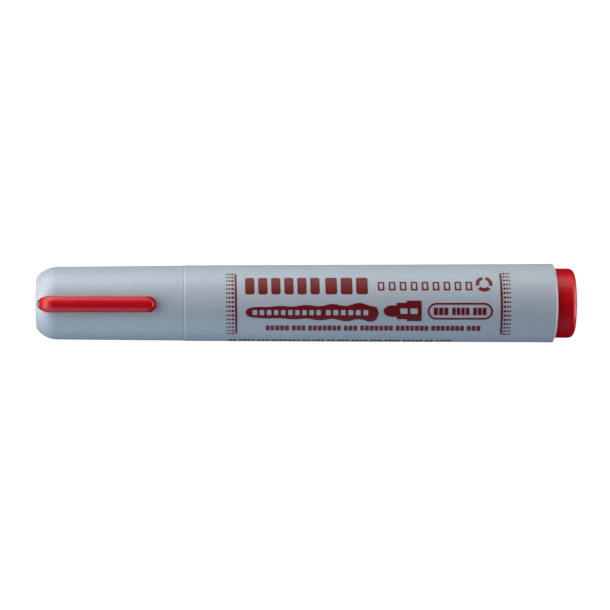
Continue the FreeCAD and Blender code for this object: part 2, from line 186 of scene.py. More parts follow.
def divided(profile, longest=3.5, guard=0.06):
    """The profile with long sides cut up, and with a point close to each end of them, so that
    the smooth shading of a rounded corner stays at the corner."""
    points = []
    for (x, radius), (x_next, radius_next) in zip(profile, profile[1:] + profile[:1]):
        points.append((x, radius))
        length = math.hypot(x_next - x, radius_next - radius)
        if length < 3 * guard or max(radius, radius_next) < WELD:
            continue
        steps = math.ceil(length / longest)
        shares = [guard / length] + [step / steps for step in range(1, steps)] + [1 - guard / length]
        points += [(x + (x_next - x) * share, radius + (radius_next - radius) * share) for share in shares]
    return points


# ---------------------------------------------------------------- meshes

def span(mesh, ring, following):
    """Joins two rings of points, either of which may be a single point."""
    count = max(len(ring), len(following))
    if count == 1:
        return
    for number in range(count):
        after = (number + 1) % count
        corners = [ring[number % len(ring)], ring[after % len(ring)],
                   following[after % len(following)], following[number % len(following)]]
        mesh.faces.new(list(dict.fromkeys(corners)))


def turned(profile, segments=SEGMENTS):
    """Closed profile of (x, radius) turned round the centre line."""
    mesh = bmesh.new()
    rings = []
    for x, radius in profile:
        if radius < WELD:
            rings.append([mesh.verts.new(around(x, 0, 0))])
        else:
            rings.append([mesh.verts.new(around(x, radius, math.tau * turn / segments))
                          for turn in range(segments)])
    for ring, following in zip(rings, rings[1:] + rings[:1]):
        span(mesh, ring, following)
    return mesh


def lofted(rings):
    """Solid through rings of as many points each, closed at both ends by what the first and
    last ring collapse to."""
    mesh = bmesh.new()
    made = [[mesh.verts.new(spot) for spot in ring] for ring in rings]
    for ring, following in zip(made, made[1:]):
        span(mesh, ring, following)
    bmesh.ops.remove_doubles(mesh, verts=mesh.verts, dist=WELD)
    return mesh


def as_object(name, mesh):
    """Object from a mesh under construction."""
    bmesh.ops.recalc_face_normals(mesh, faces=mesh.faces)
    data = bpy.data.meshes.new(name)
    mesh.to_mesh(data)
    mesh.free()
    made = bpy.data.objects.new(name, data)
    bpy.context.collection.objects.link(made)
    return made


def combine(target, tool, operation):
    """Joins a tool to an object or cuts it away, and removes the tool."""
    modifier = target.modifiers.new("combine", "BOOLEAN")
    modifier.operation = operation
    modifier.solver = "EXACT"
    modifier.object = tool
    bpy.context.view_layer.update()
    graph = bpy.context.evaluated_depsgraph_get()
    result = bpy.data.meshes.new_from_object(target.evaluated_get(graph))
    target.modifiers.clear()
    target.data = result
    bpy.data.objects.remove(tool)


def shade(made):
    """Smooth shading, except across real edges."""
    made.data.shade_smooth()
    made.data.set_sharp_from_angle(angle=SMOOTH_BELOW)


def piece(made, finish, slot, body, *nodes):
    """Gives an object its finish, its body and the CAD nodes it stands for. The slot argument is not used.
    """
    shade(made)
    made.data.materials.clear()
    made.data.materials.append(finish)
    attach(made, body)
    if nodes:
        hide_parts(*nodes)


def block(x_range, y_range, height_range, turn=0):
    """Box, turned round the centre line."""
    mesh = bmesh.new()
    bmesh.ops.create_cube(mesh, size=1)
    for vertex in mesh.verts:
        x, y, height = [low + (high - low) * (share + 0.5) for (low, high), share
                        in zip((x_range, y_range, height_range), vertex.co)]
        vertex.co = around(x, math.hypot(y, height), turn + math.atan2(y, height))
    return as_object("block", mesh)


def add_fins(target, count, x_range, inner, outer, width):
    """Joins evenly spaced fins to a piece, the first at the top."""
    for number in range(count):
        turn = math.tau * number / count
        fin = block(x_range, (-width / 2, width / 2), (inner, outer), turn)
        combine(target, fin, "UNION")


def stadium(left, right, width, inward, end_steps=20, side_steps=36):
    """Ring of (x, y) points at a distance inside a stadium whose left end is drawn out to an
    ellipse, always as many."""
    half = width / 2
    radius = half - inward
    left_reach = max(0, HEAD_REACH - inward * HEAD_REACH / half)
    left_middle = left + HEAD_REACH
    right_middle = right - half
    ring = []
    for step in range(end_steps + 1):
        angle = math.pi * (step / end_steps - 0.5)
        ring.append((right_middle + radius * math.cos(angle), radius * math.sin(angle)))
    for step in range(1, side_steps):
        ring.append((right_middle + (left_middle - right_middle) * step / side_steps, radius))
    for step in range(end_steps + 1):
        angle = math.pi * (step / end_steps + 0.5)
        ring.append((left_middle + left_reach * math.cos(angle), radius * math.sin(angle)))
    for step in range(1, side_steps):
        ring.append((left_middle + (right_middle - left_middle) * step / side_steps, -radius))
    return ring


# ---------------------------------------------------------------- finishes

class Finish:
    """A node material, with short calls for the nodes that these finishes need."""

    def __init__(self, name, **fixed):
        """New material, its shader's sockets set to fixed values; _ stands for a space."""
        self.material = bpy.data.materials.new(name)
        self.material.use_nodes = True
        self.nodes = self.material.node_tree.nodes
        self.links = self.material.node_tree.links
        self.shader = self.nodes["Principled BSDF"]
        self.place = self.nodes.new("ShaderNodeTexCoord").outputs["Object"]
        for socket, value in fixed.items():
            self.shader.inputs[socket.replace("_", " ")].default_value = value

    def stretched(self, x, y, z):
        """Coordinates scaled by a different amount each way."""
        mapping = self.nodes.new("ShaderNodeMapping")
        mapping.inputs["Scale"].default_value = (x, y, z)
        self.links.new(self.place, mapping.inputs["Vector"])
        return mapping.outputs["Vector"]

    def noise(self, scale, detail=3.0, roughness=0.5, where=None):
        """Cloudy variation from 0 to 1."""
        texture = self.nodes.new("ShaderNodeTexNoise")
        texture.inputs["Scale"].default_value = scale
        texture.inputs["Detail"].default_value = detail
        texture.inputs["Roughness"].default_value = roughness
        self.links.new(where or self.place, texture.inputs["Vector"])
        return texture.outputs["Fac"]

    def cells(self, scale, where=None):
        """Distance to the nearest of many scattered points."""
        texture = self.nodes.new("ShaderNodeTexVoronoi")
        texture.inputs["Scale"].default_value = scale
        self.links.new(where or self.place, texture.inputs["Vector"])
        return texture.outputs["Distance"]

    def ramp(self, value, *stops):
        """Colours along stops of (position, colour)."""
        ramp = self.nodes.new("ShaderNodeValToRGB")
        elements = ramp.color_ramp.elements
        while len(elements) < len(stops):
            elements.new(0.5)
        for element, (position, colour) in zip(elements, stops):
            element.position = position
            element.color = (*colour, 1)
        self.links.new(value, ramp.inputs["Fac"])
        return ramp.outputs["Color"]

    def levels(self, value, low, high, start=0.3, end=0.7):
        """Numbers from low to high as the value goes from start to end."""
        levels = self.nodes.new("ShaderNodeMapRange")
        for socket, number in (("From Min", start), ("From Max", end), ("To Min", low), ("To Max", high)):
            levels.inputs[socket].default_value = number
        self.links.new(value, levels.inputs["Value"])
        return levels.outputs["Result"]

    def multiplied(self, first, second):
        """One varying colour darkened by another."""
        mix = self.nodes.new("ShaderNodeMix")
        mix.data_type = "RGBA"
        mix.blend_type = "MULTIPLY"
        mix.inputs["Factor"].default_value = 1
        colours = [socket for socket in mix.inputs if socket.type == "RGBA"]
        self.links.new(first, colours[0])
        self.links.new(second, colours[1])
        return [socket for socket in mix.outputs if socket.type == "RGBA"][0]

    def feed(self, socket, value):
        """Drives one of the shader's sockets."""
        self.links.new(value, self.shader.inputs[socket])

    def relief(self, *layers):
        """Bumps, from layers of (height, depth in mm)."""
        normal = None
        for height, depth in layers:
            bump = self.nodes.new("ShaderNodeBump")
            bump.inputs["Distance"].default_value = depth * MM
            self.links.new(height, bump.inputs["Height"])
            if normal:
                self.links.new(normal, bump.inputs["Normal"])
            normal = bump.outputs["Normal"]
        self.feed("Normal", normal)


def shell_plastic():
    """Satin grey-blue plastic of the barrel and the cap, a little cloudy, with a few fine specks."""
    finish = Finish("shell_plastic", IOR=1.49)
    cloud = finish.noise(130, 5, 0.6)
    base = finish.ramp(cloud, (0.25, (0.352, 0.428, 0.503)), (0.75, (0.380, 0.457, 0.533)))
    speck = finish.ramp(finish.cells(420), (0.035, (0.80, 0.79, 0.78)), (0.06, (1, 1, 1)))
    finish.feed("Base Color", finish.multiplied(base, speck))
    finish.feed("Roughness", finish.levels(finish.noise(700, 3), 0.36, 0.44))
    finish.relief((finish.noise(2600, 3), 0.0035), (finish.noise(240, 2), 0.010))
    return finish.material


def red_plastic():
    """Satin red plastic of the clip and the end plug, with faint flow marks."""
    finish = Finish("red_plastic", IOR=1.5, Specular_IOR_Level=0.4)
    flow = finish.noise(160, 4, 0.55, finish.stretched(0.35, 1, 1))
    base = finish.ramp(flow, (0.25, (0.440, 0.0004, 0.0060)), (0.75, (0.500, 0.0010, 0.0090)))
    finish.feed("Base Color", base)
    finish.feed("Roughness", finish.levels(finish.noise(600, 3), 0.32, 0.39))
    finish.relief((finish.noise(1500, 2), 0.003), (finish.noise(200, 2), 0.008))
    return finish.material


def liner_plastic():
    """Milky natural plastic of the sealing inner cap."""
    finish = Finish("liner_plastic", IOR=1.5, Subsurface_Weight=0.35, Subsurface_Scale=0.002)
    cloud = finish.noise(300, 4)
    finish.feed("Base Color", finish.ramp(cloud, (0.25, (0.70, 0.71, 0.68)), (0.75, (0.79, 0.80, 0.77))))
    finish.feed("Roughness", finish.levels(finish.noise(900, 3), 0.38, 0.52))
    finish.relief((finish.noise(2200, 2), 0.004))
    return finish.material


def nose_plastic():
    """Darker grey plastic of the nose, smoother in patches, as the inner cap rubs on it."""
    finish = Finish("nose_plastic", IOR=1.49)
    cloud = finish.noise(220, 4, 0.6)
    base = finish.ramp(cloud, (0.25, (0.200, 0.250, 0.310)), (0.75, (0.245, 0.300, 0.365)))
    finish.feed("Base Color", base)
    finish.feed("Roughness", finish.levels(finish.noise(350, 3), 0.30, 0.46))
    finish.relief((finish.noise(2400, 3), 0.004))
    return finish.material


def nib_felt():
    """Red fibre of the nib: fine strands along it, darker in patches where more ink sits."""
    finish = Finish("nib_felt", Sheen_Weight=0.25, Sheen_Roughness=0.5)
    strands = finish.noise(2600, 3, 0.6, finish.stretched(0.16, 1, 1))
    soaked = finish.ramp(finish.noise(420, 3), (0.30, (0.72, 0.70, 0.70)), (0.70, (1, 1, 1)))
    fibre = finish.ramp(strands, (0.30, (0.300, 0.004, 0.012)), (0.70, (0.560, 0.018, 0.030)))
    finish.feed("Base Color", finish.multiplied(fibre, soaked))
    finish.feed("Roughness", finish.levels(strands, 0.70, 0.92))
    finish.relief((strands, 0.030), (finish.noise(5200, 2), 0.012))
    return finish.material


def reservoir_fibre():
    """Ink-soaked bundle of long fibres."""
    finish = Finish("reservoir_fibre", Sheen_Weight=0.3)
    strands = finish.noise(3200, 3, 0.6, finish.stretched(0.05, 1, 1))
    patches = finish.ramp(finish.noise(160, 3), (0.30, (0.75, 0.72, 0.72)), (0.70, (1, 1, 1)))
    fibre = finish.ramp(strands, (0.30, (0.38, 0.012, 0.022)), (0.70, (0.66, 0.050, 0.060)))
    finish.feed("Base Color", finish.multiplied(fibre, patches))
    finish.feed("Roughness", finish.levels(strands, 0.75, 0.95))
    finish.relief((strands, 0.040))
    return finish.material


def reservoir_film():
    """Clear film tube, lightly wrinkled, with the ink's colour showing through."""
    finish = Finish("reservoir_film", IOR=1.5, Coat_Weight=0.5, Coat_Roughness=0.1)
    wrinkle = finish.noise(240, 4, 0.6, finish.stretched(0.3, 1, 1))
    finish.feed("Base Color", finish.ramp(wrinkle, (0.3, (0.58, 0.16, 0.17)), (0.7, (0.70, 0.27, 0.27))))
    finish.feed("Roughness", finish.levels(wrinkle, 0.16, 0.34))
    finish.relief((wrinkle, 0.06))
    return finish.material


def print_ink():
    """Dark red printing ink, slightly uneven where it took less well."""
    finish = Finish("print_ink", IOR=1.45)
    cover = finish.noise(900, 4, 0.6)
    base = finish.ramp(cover, (0.30, (0.125, 0.0010, 0.0040)), (0.70, (0.150, 0.0035, 0.0085)))
    finish.feed("Base Color", base)
    finish.feed("Roughness", finish.levels(finish.noise(1400, 3), 0.38, 0.48))
    finish.relief((finish.noise(3200, 2), 0.003))
    return finish.material


def floor_finish():
    """Pale paper under the marker, evenly bright because it glows by itself."""
    finish = Finish("floor_paper", Roughness=0.9, Emission_Strength=1.0)
    grain = finish.noise(900, 3)
    finish.feed("Base Color", finish.ramp(grain, (0.3, (0.10, 0.10, 0.10)), (0.7, (0.12, 0.12, 0.12))))
    finish.feed("Emission Color", finish.ramp(grain, (0.3, (0.995, 0.995, 0.995)), (0.7, (1, 1, 1))))
    return finish.material


# ---------------------------------------------------------------- the cap

def shoulder_arc(steps=16):
    """Points of the shoulder's curve, from the cap's wall to just before its crown."""
    centre_radius = SHOULDER_RADIUS - SHOULDER_CURVE
    end = math.acos((CROWN - SHOULDER) / SHOULDER_CURVE)
    points = []
    for step in range(steps):
        angle = math.pi / 2 + (end - math.pi / 2) * step / steps
        points.append((SHOULDER + SHOULDER_CURVE * math.cos(angle),
                       centre_radius + SHOULDER_CURVE * math.sin(angle)))
    return points


def cap_radius(x):
    """Outside of the cap at x."""
    if x < SHOULDER:
        reach = min(SHOULDER - x, SHOULDER - CROWN)
        return SHOULDER_RADIUS - SHOULDER_CURVE + math.sqrt(SHOULDER_CURVE ** 2 - reach ** 2)
    return between(x, [(SHOULDER, SHOULDER_RADIUS), (MOUTH, MOUTH_RADIUS)])


def cap_height(x, y):
    """Height of the cap's surface above the centre line."""
    return math.sqrt(cap_radius(x) ** 2 - y ** 2)


def slot_outline(out):
    """Ring of the clip's slot, widened by an amount: close to the clip at its sides, and
    reaching forward of its head in a crescent."""
    ring = []
    for x, y in stadium(CLIP_FRONT, SLOT_REAR, CLIP_WIDTH, -SLOT_GAP - out):
        ahead = max(0.0, 1 - (2 * y / CLIP_WIDTH) ** 2) if x < CLIP_FRONT + HEAD_REACH else 0.0
        ring.append((x - (CLIP_FRONT - SLOT_FRONT - SLOT_GAP) * ahead, y))
    return ring


def slot_floor(x):
    """Height of the slot's floor, which has a sill at the crown."""
    return between(x, [(SLOT_FRONT, SLOT_SILL), (CLIP_FRONT, SLOT_SILL), (CLIP_FRONT + 0.4, SLOT_FLOOR)])


def build_slot_cutter():
    """What the clip's slot takes out of the cap: straight walls that widen into a soft rim."""
    rim = [(0.0, -0.07), (0.01, -0.03), (0.03, -0.008), (0.06, 0.01), (0.12, 0.06), (SLOT_FLARE, 0.3)]
    top = MOUTH_RADIUS + 2
    middle = (CLIP_FRONT + SLOT_REAR) / 2
    straight = slot_outline(0)
    rings = [[above(middle, 0, SLOT_FLOOR)] * len(straight)]
    for share in (0.5, 0.85, 1.0):
        inner = [(middle + (x - middle) * share, y * share) for x, y in straight]
        rings.append([above(x, y, slot_floor(x)) for x, y in inner])
    for out, rise in rim:
        rings.append([above(x_wide, y_wide, max(cap_height(x, y) + rise, slot_floor(x) + 0.02 + out))
                      for (x, y), (x_wide, y_wide) in zip(straight, slot_outline(out))])
    rings.append([above(x, y, top) for x, y in slot_outline(SLOT_FLARE)])
    rings.append([above(middle, 0, top)] * len(straight))
    return as_object("slot_cutter", lofted(rings))


def build_cap(plastic):
    """Outer cap with a moulding dimple in its crown, a snap bead in its skirt and the clip's slot."""
    skirt_bore, bead_bore, waist_bore, seat_bore, chamber_bore = 7.45, 7.3, 7.25, 7.1, 6.8
    seat_end = CROWN + 3.7
    chamber_end = CROWN + 1.6
    corners = [
        (CROWN + DIMPLE_DEPTH, 0, 0),
        (CROWN + DIMPLE_DEPTH, DIMPLE_BOTTOM, 0.1),
        (CROWN, DIMPLE_TOP, 0.12),
        (CROWN, cap_radius(CROWN), 0.7),
    ]
    corners += [(x, radius, 0) for x, radius in reversed(shoulder_arc())]
    corners += [
        (MOUTH, MOUTH_RADIUS, MOUTH_EDGE),
        (MOUTH, 7.5, 0.12),
        (MOUTH - 1.8, skirt_bore, 0),
        (MOUTH - 2.4, bead_bore, 0.2),
        (MOUTH - 3.0, bead_bore, 0.2),
        (MOUTH - 3.6, skirt_bore, 0),
        (MOUTH - 9.4, skirt_bore, 0.3),
        (MOUTH - 10.0, waist_bore, 0.3),
        (CROWN + 8.0, seat_bore, 0),
        (seat_end, seat_bore, 0),
        (seat_end, chamber_bore, 0),
        (chamber_end + 0.4, chamber_bore, 0.2),
        (chamber_end, chamber_bore - 0.4, 0.1),
        (chamber_end, 0, 0),
    ]
    cap = as_object("cap", turned(divided(rounded(corners))))
    combine(cap, build_slot_cutter(), "DIFFERENCE")
    piece(cap, plastic, "cap_plastic", "cap", "cap_shell")


def build_inner_cap(plastic):
    """Sealing inner cap: a cup with a wide rim, four centring fins and a sealing band."""
    seat = front("inner_cap")
    mouth = rear("inner_cap")
    rim = outside("inner_cap")
    wall, bore, band_bore = 6.0, 5.2, 5.03
    corners = [
        (seat, 0, 0),
        (seat + 1.3, 0, 0),
        (seat + 1.3, bore, 0.5),
        (mouth - 5.6, bore, 0.4),
        (mouth - 5.0, band_bore, 0.4),
        (mouth - 0.6, band_bore, 0.3),
        (mouth, 5.25, 0.1),
        (mouth, wall, 0.25),
        (seat + 2.3, wall, 0.2),
        (seat + 2.3, rim, 0.2),
        (seat, rim, 0.3),
    ]
    liner = as_object("inner_cap_liner", turned(divided(rounded(corners)), FEWER_SEGMENTS))
    add_fins(liner, 4, (seat + 2.0, mouth - 5.5), inner=5.7, outer=rim - 0.03, width=0.9)
    piece(liner, plastic, "liner_plastic", "cap", "inner_cap")


# ---------------------------------------------------------------- the clip

CLIP_TOP = 10.4
CLIP_DROP = 0.2
HEAD_CURVE = 3.5
CLIP_CROWN = 2.1
SIDE_EDGE = 0.12
TIP_EDGE = 0.9
TIP_LEDGE = 0.4
LEDGE_HEIGHT = 9.25
UNDER_EDGE = 0.12
HEAD = CLIP_FRONT + HEAD_CURVE


def clip_path(x):
    """Height of the clip's ridge above the centre line."""
    if x < HEAD:
        reach = min(HEAD - x, HEAD_CURVE)
        return CLIP_TOP - CLIP_DROP - HEAD_CURVE + math.sqrt(HEAD_CURVE ** 2 - reach ** 2)
    return between(x, [(HEAD, CLIP_TOP - CLIP_DROP), (CLIP_TIP, CLIP_TOP)])


def clip_underside(x):
    """Height of the clip's underside: it dips into the slot at the head and has a pad at the tip."""
    return between(x, [
        (CLIP_FRONT, 6.6), (CLIP_FRONT + 0.85, 6.4), (CLIP_FRONT + 2.05, 6.4), (CLIP_FRONT + 2.55, 8.02),
        (CLIP_FRONT + 3.5, 8.80), (CLIP_TIP - 3.1, 8.88), (CLIP_TIP - 2.5, 8.66),
        (CLIP_TIP - 1.1, 8.66), (CLIP_TIP, 9.1),
    ])


def rounded_drop(inward, edge):
    """How far a rounded edge lies below the face it rounds, at a distance inside the outline."""
    if inward >= edge:
        return 0
    return edge - math.sqrt(edge ** 2 - (edge - inward) ** 2)


def clip_face(x, y, inward):
    """Height of the clip's upper face, crowned across and rounded at its outline, with a low
    ledge round its tip."""
    crowning = CLIP_CROWN - math.sqrt(CLIP_CROWN ** 2 - y ** 2)
    edge = between(x, [(CLIP_TIP - 2.6, SIDE_EDGE), (CLIP_TIP - 1.0, TIP_EDGE)])
    ledge = between(x, [(CLIP_TIP - 1.7, 0), (CLIP_TIP - 0.9, TIP_LEDGE)])
    if inward < ledge - 0.06:
        return min(LEDGE_HEIGHT, clip_path(x) - crowning)
    return clip_path(x) - crowning - rounded_drop(max(0, inward - ledge), edge)


def build_clip(plastic):
    """Pocket clip: a crowned arm with a curved head, a foot and a cross bar inside the crown."""
    half = CLIP_WIDTH / 2
    rings = []
    for inward in (half, half * 0.6, 0.3, UNDER_EDGE, 0.04, 0):
        ring = stadium(CLIP_FRONT, CLIP_TIP, CLIP_WIDTH, inward)
        rings.append([above(x, y, clip_underside(x) + rounded_drop(inward, UNDER_EDGE)) for x, y in ring])
    steps = 18
    for step in range(steps + 1):
        inward = half * (1 - math.cos(math.pi / 2 * step / steps))
        ring = stadium(CLIP_FRONT, CLIP_TIP, CLIP_WIDTH, inward)
        rings.append([above(x, y, clip_face(x, y, inward)) for x, y in ring])
    clip = as_object("pocket_clip", lofted(rings))

    pivot = CLIP_FRONT + 1.65
    pivot_height = 5.4
    bar_radius = 0.8
    foot_half = bar_radius - 0.02
    foot = block((pivot - foot_half, pivot + foot_half), (-half + 0.5, half - 0.5), (pivot_height, 7.2))
    combine(clip, foot, "UNION")
    bar = bmesh.new()
    bmesh.ops.create_cone(bar, cap_ends=True, segments=48, radius1=bar_radius * MM, radius2=bar_radius * MM,
                          depth=4.58 * MM, matrix=Matrix.Rotation(math.pi / 2, 4, "X"))
    bmesh.ops.translate(bar, verts=bar.verts, vec=above(pivot, 0, pivot_height))
    combine(clip, as_object("clip_bar", bar), "UNION")
    piece(clip, plastic, "clip_plastic", "clip", "clip")


# ---------------------------------------------------------------- the barrel and what is in it

def barrel_radius(x):
    """Outside of the barrel at x, behind the seam."""
    return between(x, [(SEAM, SEAM_RADIUS), (FLARE, FLARE_RADIUS), (CHAMFER, WIDEST)])


def build_barrel(plastic):
    """Barrel: neck with its snap bead, shoulder at the seam, long wall with ribs inside it, and
    chamfered rear lip."""
    neck_radius, bead_radius, plug_bore = 7.15, 7.28, 8.05
    corners = [
        (NECK, NECK_BORE, 0.1),
        (SEAM - 0.5, NECK_BORE, 0),
        (SEAM + 1.5, 7.45, 0),
        (LIP - 9.0, 7.8, 0),
        (LIP - 9.0, plug_bore, 0),
        (LIP, plug_bore, 0.02),
        (LIP, 8.15, 0.05),
        (CHAMFER, WIDEST, 0.15),
        (FLARE, FLARE_RADIUS, 0),
        (SEAM + SEAM_BEVEL, SEAM_RADIUS, 0.15),
        (SEAM, SEAM_RADIUS - SEAM_DROP, 0.03),
        (SEAM, neck_radius, 0.1),
        (NECK + 4.8, neck_radius, 0),
        (NECK + 4.2, bead_radius, 0.2),
        (NECK + 3.6, bead_radius, 0.2),
        (NECK + 3.0, neck_radius, 0),
        (NECK + 0.4, neck_radius, 0.2),
        (NECK, 6.85, 0.1),
    ]
    barrel = as_object("barrel_tube", turned(divided(rounded(corners))))
    add_fins(barrel, 6, (SEAM + 4.0, LIP - 11.5), inner=6.5, outer=8.1, width=0.9)
    piece(barrel, plastic, "barrel_plastic", "barrel", "barrel")


def build_nose(plastic):
    """Nose: tapered tube, flange against the neck, and inside it the ribs that grip the nib."""
    tip = front("nose_cone")
    sleeve_end = rear("nose_cone")
    tube, tube_bore, sleeve_bore, flange = 5.0, 2.95, 4.9, 6.9
    corners = [
        (tip, tube_bore, 0.15),
        (NECK + 0.5, tube_bore, 0),
        (NECK + 2.0, sleeve_bore, 0),
        (sleeve_end, sleeve_bore, 0.1),
        (sleeve_end, NECK_BORE, 0.2),
        (NECK, NECK_BORE, 0),
        (NECK, flange, 0.1),
        (NECK - 1.2, flange, 0.2),
        (NECK - 1.2, tube, 0.3),
        (tip + 3.0, tube, 0.8),
        (tip, 3.6, 0.25),
    ]
    nose = as_object("nose", turned(divided(rounded(corners)), FEWER_SEGMENTS))
    add_fins(nose, 6, (tip + 0.5, NECK), inner=2.52, outer=3.3, width=0.9)
    piece(nose, plastic, "nose_plastic", "barrel", "nose_cone")


def build_nib(felt):
    """Bullet nib, its surface slightly uneven as cut felt is."""
    tip = front("nib")
    end = rear("nib")
    radius = 2.5
    corners = [
        (tip, 0, 0),
        (tip, 1.3, 1.0),
        (tip + 2.9, radius, 2.0),
        (end - 2.0, radius, 0.5),
        (end, 1.4, 0.3),
        (end, 0, 0),
    ]
    mesh = turned(divided(rounded(corners), longest=0.35, guard=0.1), FEWER_SEGMENTS)
    pit_depth = 0.035 * MM
    grain_along, grain_across = 250, 1500
    for vertex in mesh.verts:
        spoke = Vector((0, vertex.co.y, vertex.co.z - AXIS * MM))
        grain = Vector((vertex.co.x * grain_along, vertex.co.y * grain_across, vertex.co.z * grain_across))
        pitting = 0.5 + 0.5 * noise.noise(grain)
        vertex.co -= spoke.normalized() * pit_depth * pitting
    piece(as_object("bullet_nib", mesh), felt, "nib_fibre", "barrel", "nib")


def build_end_plug(plastic):
    """End plug: hollow stopper with two sealing beads and four prongs, and a rounded head with a
    moulding dimple."""
    start = PLUG_START + 0.95
    head, stopper, bore, thickness = 8.03, 7.97, 6.7, 1.4
    corners = [
        (start, bore, 0.1),
        (PLUG_END - thickness, bore, 0.4),
        (PLUG_END - thickness, 0, 0),
        (PLUG_END - DIMPLE_DEPTH, 0, 0),
        (PLUG_END - DIMPLE_DEPTH, DIMPLE_BOTTOM, 0.1),
        (PLUG_END, DIMPLE_TOP, 0.12),
        (PLUG_END, head, 1.4),
        (LIP - 0.3, head, 0),
        (LIP - 0.6, stopper, 0),
        (start + 6.2, stopper, 0),
        (start + 5.6, head, 0.5),
        (start + 5.0, stopper, 0),
        (start + 3.2, stopper, 0),
        (start + 2.6, head, 0.5),
        (start + 2.0, stopper, 0),
        (start + 0.6, stopper, 0.2),
        (start, 7.67, 0.1),
    ]
    plug = as_object("stopper", turned(divided(rounded(corners))))
    add_fins(plug, 4, (PLUG_START, PLUG_END - 1.0), inner=2.4, outer=7.1, width=0.9)
    piece(plug, plastic, "plug_plastic", "plug", "end_plug")


# ---------------------------------------------------------------- the print on the barrel

INK_OUT = 0.03
INK_IN = 0.02
PRINT_RADIUS = 8.9
DEGREE = PRINT_RADIUS * math.radians(1)
BEND_STEP = 0.5
PRINT_SKEW = 0.013


def across(degrees):
    """Position round the barrel, as a length on a print laid out flat."""
    return degrees * DEGREE


def wrapped(x, along, lift):
    """Mesh point of the flat print's point, laid on the barrel slightly askew."""
    x_askew = x - PRINT_SKEW * along
    return around(x_askew, barrel_radius(x_askew) + lift, along / PRINT_RADIUS)


def arc_points(x, y, radius, start, end, steps):
    """Points of an arc on the flat print, angles in degrees."""
    angles = [math.radians(start + (end - start) * step / steps) for step in range(steps + 1)]
    return [(x + radius * math.cos(angle), y + radius * math.sin(angle)) for angle in angles]


def disc(x, y, diameter):
    """Round dot."""
    return [arc_points(x, y, diameter / 2, 0, 360, 20)[:-1]]


def bar(x_start, x_end, y_middle, height, rounding=None):
    """Bar with rounded ends."""
    size = height / 2 - 0.001 if rounding is None else rounding
    left, right = x_start + size, x_end - size
    low, high = y_middle - height / 2 + size, y_middle + height / 2 - size
    outline = arc_points(right, low, size, -90, 0, 6) + arc_points(right, high, size, 0, 90, 6)
    outline += arc_points(left, high, size, 90, 180, 6) + arc_points(left, low, size, 180, 270, 6)
    return [outline]


def outlined(shape, hole):
    """A shape with another cut out of it."""
    return [shape[0], list(reversed(hole[0]))]


def arc_stroke(x, y, radius, width, start, end):
    """Part of a ring."""
    outer = arc_points(x, y, radius + width / 2, start, end, 16)
    inner = arc_points(x, y, radius - width / 2, end, start, 16)
    return [outer + inner]


def block_row(x_start, x_end, y_middle, height, count, gap, rounding=0.2):
    """Row of equal blocks."""
    pitch = (x_end - x_start + gap) / count
    return [bar(x_start + pitch * number, x_start + pitch * (number + 1) - gap, y_middle, height, rounding)
            for number in range(count)]


def words(chance, x_start, x_end, y_middle, height, letter):
    """Row of small blocks in groups, in place of a line of small print."""
    gap, space, rounding = 0.22, 0.45, 0.15
    shapes = []
    x = x_start
    while x + 2 * letter <= x_end:
        count = min(chance.choice((2, 3, 3, 4, 5, 7)), int((x_end - x) / letter))
        shapes += block_row(x, x + count * letter - gap, y_middle, height, count, gap, rounding)
        x += count * letter + space
    return shapes


def dotted_column(x, diameter):
    """Column of sixteen dots round the barrel."""
    rows, pitch = 16, 6.69
    return [disc(x, across(pitch * (row - (rows - 1) / 2)), diameter) for row in range(rows)]


def end_marks():
    """The line and three columns of dots, smaller outwards, at both ends of the print."""
    line_middle = across(0.0)
    line_height = across(101.6)
    shapes = [bar(-16.49, -16.01, line_middle, line_height, 0.02),
              bar(44.21, 44.69, line_middle, line_height, 0.02)]
    for x, diameter in ((-18.30, 0.40), (-17.69, 0.48), (-16.98, 0.60),
                        (45.15, 0.60), (45.83, 0.48), (46.41, 0.40)):
        shapes += dotted_column(x, diameter)
    return shapes


def headline():
    """Two groups of heavy blocks where the marker's heading stands."""
    middle = across(28.7)
    height, gap, rounding = 4.3, 0.85, 0.5
    return (block_row(-14.1, 2.9, middle, height, 6, gap, rounding)
            + block_row(4.2, 13.9, middle, height, 3, gap, rounding))


def spaced_row():
    """Nine small frames and a ring of three arcs, in place of spaced lettering and a symbol."""
    x_start, x_end = 16.2, 37.8
    middle = across(27.7)
    height, gap, line = 2.2, 1.0, 0.38
    frames = block_row(x_start, x_end, middle, height, 9, gap)
    holes = block_row(x_start + line, x_end - line, middle, height - 2 * line, 9, gap + 2 * line, 0.1)
    shapes = [outlined(frame_shape, hole) for frame_shape, hole in zip(frames, holes)]
    for start in (100, 220, 340):
        shapes.append(arc_stroke(40.55, across(31.2), 1.5, 0.85, start, start + 96))
    return shapes


def stroke_band():
    """A plain wavy pen stroke that widens, with two groups of blocks left open in it."""
    steps = 90
    x_start, x_end = -14.1, 16.3
    middle = across(-12.4)
    thin_half, widening = 1.25, 0.80
    wave_height, waves = 0.38, 5
    bluntness = 18
    upper, lower = [], []
    for step in range(steps + 1):
        share = step / steps
        x = x_start + (x_end - x_start) * share
        half = (thin_half + widening * share) * math.sqrt(max(0.0, 1 - (2 * share - 1) ** bluntness))
        wave = wave_height * share * math.sin(math.tau * waves * share)
        upper.append((x, middle + wave + half))
        lower.append((x, middle + wave - half))
    openings = block_row(-12.5, 3.1, middle, 1.25, 10, 0.55) + block_row(4.2, 13.9, middle, 1.25, 6, 0.55)
    return [[lower + list(reversed(upper))] + [list(reversed(opening[0])) for opening in openings]]


